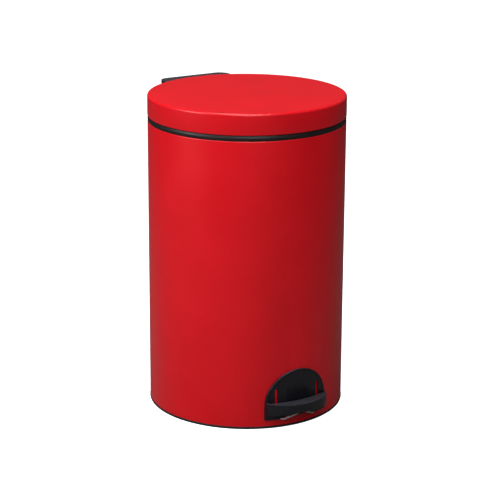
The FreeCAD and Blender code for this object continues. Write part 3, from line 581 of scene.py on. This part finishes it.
def lay_round(piece, wall, step=2.5):
    """Lays a flat piece round the wall: depth in front of the XZ plane becomes depth off the wall."""
    make_active(piece)
    bpy.ops.object.mode_set(mode="EDIT")
    reach = int(50 / step)
    for i in range(-reach, reach + 1):
        bpy.ops.mesh.select_all(action="SELECT")
        bpy.ops.mesh.bisect(plane_co=(i * step * MM, 0, 0), plane_no=(1, 0, 0))
    leave_edit()
    for point in piece.data.vertices:
        radius = wall * MM - point.co.y
        point.co.y = -math.sqrt(radius ** 2 - point.co.x ** 2)


# ---- Pedal ----

PEDAL_CURVE = 55.0
PEDAL_CORNER = 8.0
PEDAL_LIP = 1.8
PEDAL_RECESS = 1.0
PEDAL_WALL = 2.4
PEDAL_ROOF = 28.1             # the underside of the tread
PEDAL_ARCH = 4.8              # how far the middle of the front's lower edge rises
PEDAL_BACK_LOW = (17.0, 131.2)    # height and radius of the space behind the pedal, below
PEDAL_BACK_TOP = (37.0, 128.4)    # and above
SOCKET_HALF = 8.3                 # the lever's slot in the pedal's back wall
SOCKET_FRONT = -132.5
SOCKET_TOP = 28.05
BOW_WIRE_R = 1.25
CAD_WIRE_R = 1.1


def pedal_block(inset, low, high, name="block"):
    """The pedal's plan, drawn in by an inset, as a block: a curved front with two round corners."""
    corner, front = span("pedal_pad")[1].x - inset, span("pedal_pad")[0].y
    middle = front + PEDAL_CURVE
    block = round_bar(PEDAL_CURVE - inset, (0, middle, low), (0, middle, high), vertices=256, name=name)
    cut_away(block, brick(corner, 90, -170, 30, low - 5, high + 5))
    cut_away(block, brick(-90, -corner, -170, 30, low - 5, high + 5))
    select_edges(block, lambda a, b: is_upright(a, b) and abs(a.x) > corner - 0.05 and a.y < middle)
    bpy.ops.mesh.bevel(offset=(PEDAL_CORNER - inset) * 0.62 * MM, segments=10, affect="EDGES")
    leave_edit()
    return block


def pedal_back(gap):
    """The space behind the pedal: a cone about the body's axis, wider below."""
    (low, low_radius), (top, top_radius) = PEDAL_BACK_LOW, PEDAL_BACK_TOP
    return round_bar(low_radius + gap, (0, 0, low), (0, 0, top), vertices=256,
                     end_radius=top_radius + gap)


def make_pedal():
    """The foot pedal: a crescent in plan with a raised lip, hollow below, its underside arched."""
    low, high = span("pedal_pad")
    half, top, foot = high.x, high.z, low.z
    pedal = pedal_block(0, foot, top, name="pedal_moulding")
    cut_away(pedal, pedal_block(PEDAL_LIP, top - PEDAL_RECESS, top + 5))
    hollow = pedal_block(PEDAL_WALL, foot - 5, PEDAL_ROOF)
    cut_away(hollow, pedal_back(1.6))
    cut_away(pedal, hollow)
    cut_away(pedal, pedal_back(0))
    arch = (half ** 2 + PEDAL_ARCH ** 2) / (2 * PEDAL_ARCH)
    middle = foot + PEDAL_ARCH - arch
    cut_away(pedal, round_bar(arch, (0, -160, middle), (0, -100, middle), vertices=512))
    cut_away(pedal, brick(-SOCKET_HALF, SOCKET_HALF, SOCKET_FRONT, -100, 0, SOCKET_TOP))
    soften(pedal, 0.6, segments=3, angle=35)
    smooth(pedal, 45)
    dress(pedal, "pedal", "black_trim_plastic", "pedal_pad")


def make_bow():
    """The bright wire bow under the pedal. Each half runs from the wall, in the opening at the
    bezel's foot, to the pedal."""
    foot_x = span("pedal_spring")[1].x - CAD_WIRE_R
    for name, side in (("bow_wire_left", -1), ("bow_wire_right", 1)):
        data = bpy.data.curves.new(name, "CURVE")
        data.dimensions = "3D"
        data.bevel_depth = BOW_WIRE_R * MM
        data.bevel_resolution = 5
        data.use_fill_caps = True
        line = data.splines.new("NURBS")
        route = [(foot_x - 2.0, -123.0, 13.4), (foot_x - 3.4, -125.6, 12.4), (21.6, -127.6, 12.2),
                 (20.6, -128.2, 12.6), (10.6, -133.0, 17.4), (1.8, -137.4, 21.9),
                 (1.0, -137.8, 22.4), (0.0, -138.0, 22.6)]
        line.points.add(len(route) - 1)
        for point, (x, y, z) in zip(line.points, route):
            point.co = (side * x * MM, y * MM, z * MM, 1.0)
        line.use_endpoint_u = True
        line.order_u = 3
        line.resolution_u = 8
        wire = bpy.data.objects.new(name, data)
        bpy.context.scene.collection.objects.link(wire)
        make_active(wire)
        bpy.ops.object.convert(target="MESH")
        wire = bpy.context.object
        smooth(wire, 60)
        wire.data.materials.clear()
        wire.data.materials.append(FINISH["bright_wire"])
        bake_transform(wire)
        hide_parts("pedal_spring")


# ---- Hinge cover ----

HOOD_FRONT = 100.0
HOOD_CORNER = 14.0
HOOD_WALL = 2.0
BOSS_X = 20.0
BOSS_R = 3.6
BOSS_Z = 392.5
BOSS_FRONT = 137.1
BOSS_BACK = 141.5


def make_hinge_cover():
    """The hood over the hinge: rounded in plan, soft top edges, hollow below."""
    low, high = span("lid_hinge_cover")
    lid_radius = span("lid_shell")[1].x
    hood = brick(low.x, high.x, HOOD_FRONT, high.y, low.z, high.z, name="hinge_hood")
    select_edges(hood, lambda a, b: is_upright(a, b) and a.y > HOOD_FRONT + 1)
    bpy.ops.mesh.bevel(offset=HOOD_CORNER * MM, segments=12, affect="EDGES")
    leave_edit()
    select_faces(hood, lambda centre, normal: normal.z < -0.9)
    bpy.ops.mesh.inset(thickness=HOOD_WALL * MM, depth=0.0)
    bpy.ops.mesh.inset(thickness=0.1 * MM, depth=-(high.z - low.z - HOOD_WALL) * MM)
    leave_edit()
    cut_away(hood, round_bar(lid_radius + 0.1, (0, 0, 300), (0, 0, 450), vertices=256))
    for x in (-BOSS_X, BOSS_X):
        add_on(hood, round_bar(BOSS_R, (x, BOSS_FRONT, BOSS_Z), (x, BOSS_BACK, BOSS_Z), vertices=32))
    soften(hood, 1.0, segments=4, angle=40)
    smooth(hood, 45)
    dress(hood, "lid", "black_trim_plastic", "lid_hinge_cover")


# ---- Bucket ----

BEAD_R = 1.1                  # how far a swaged bead stands out
BEAD_HALF = 4.0               # half its height
BEADS_UP = (70.0, 250.0)      # the two beads, above the base


def make_bucket():
    """The lift-out bucket: tapered wall with two swaged beads, a stepped base and a wired rim."""
    low, high = span("bucket")
    base, roll_r = low.z, 2.0
    rim = high.x - roll_r
    rim_z = high.z - roll_r
    wall_low, wall_top = 102.4, rim - 1.1

    def wall_at(z):
        return wall_low + (wall_top - wall_low) * (z - base) / (rim_z - base)

    outline = [(0.4, base + 3.0), (91.0, base + 3.0), (93.5, base + 2.0), (95.0, base),
               (100.8, base), (102.0, base + 0.5), (wall_at(base + 2), base + 2.0)]
    for bead_z in (base + up for up in BEADS_UP):
        for step in range(9):
            turn = math.pi * step / 8
            z = bead_z - BEAD_HALF * math.cos(turn)
            outline.append((wall_at(z) + BEAD_R * math.sin(turn), z))
    for step in range(25):
        turn = math.radians(-150 + 330 * step / 24)
        outline.append((rim + roll_r * math.cos(turn), rim_z + roll_r * math.sin(turn)))
    inside = [(wall_at(rim_z - 3) - 0.8, rim_z - 3), (wall_at(base + 4) - 0.8, base + 3.0),
              (100.2, base + 0.9), (95.4, base + 0.9), (93.8, base + 3.0), (91.2, base + 4.0),
              (0.4, base + 4.0)]
    pail = turned("bucket_pail", outline + inside, closed=False, segments=160)
    smooth(pail)
    dress(pail, "bucket", "galvanised_sheet", "bucket")


# ---- CAD nodes that keep their shape ----

def finish_cad_nodes():
    for part in frame["record"]["subparts"]:
        node = frame["nodes"][part["node"]]
        node.data.materials.clear()
        node.data.materials.append(FINISH[part["material_slot"]])


bpy.context.scene.view_settings.view_transform = "Standard"
make_camera()
make_world()
make_softboxes()
make_floor()
FINISH = make_materials()
finish_cad_nodes()
make_lid()
make_body()
make_rim()
make_bezel()
make_pedal()
make_bow()
make_hinge_cover()
make_bucket()
